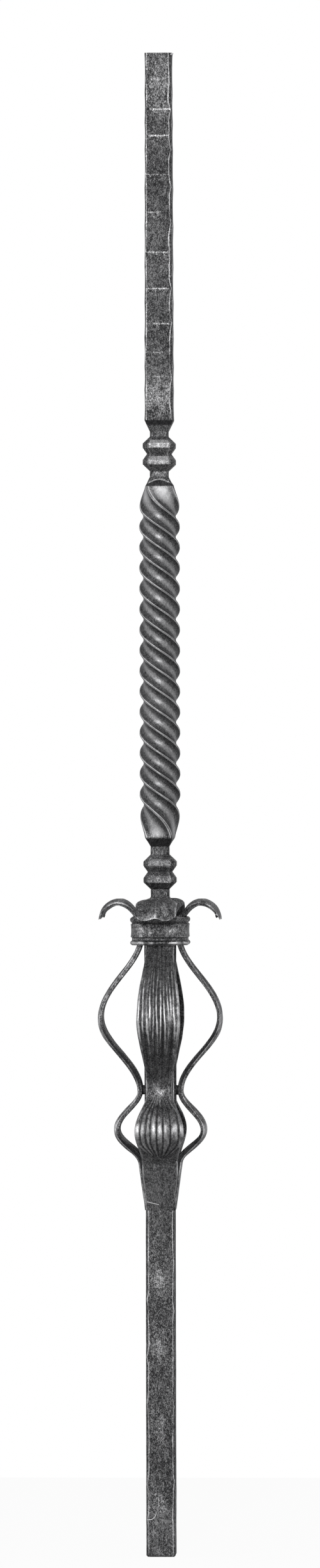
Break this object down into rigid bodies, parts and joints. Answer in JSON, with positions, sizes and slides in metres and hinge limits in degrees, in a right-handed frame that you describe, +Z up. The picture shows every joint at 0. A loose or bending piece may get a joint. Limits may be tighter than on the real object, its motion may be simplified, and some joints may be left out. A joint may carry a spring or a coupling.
{
  "type": "twisted baluster",
  "caption": "Forged iron stair baluster: hammered square bar with a twisted length between faceted knuckles and a cage of fluted leaf straps clasped by a collar.",
  "frame": {"origin": "middle of the lower end face of the bar", "axes": "+Z up along the bar towards the head; the front face and the front leaf look along -Y"},
  "size_m": [0.1012, 0.1012, 1.2],
  "materials": {
    "forged_iron": "dark oiled forged iron with hammer marks and bright worn edges"
  },
  "bodies": {
    "root": {"stem": "forged_iron", "leaf_front": "forged_iron", "leaf_right": "forged_iron", "leaf_back": "forged_iron", "leaf_left": "forged_iron", "collar": "forged_iron"}
  },
  "joints": []
}
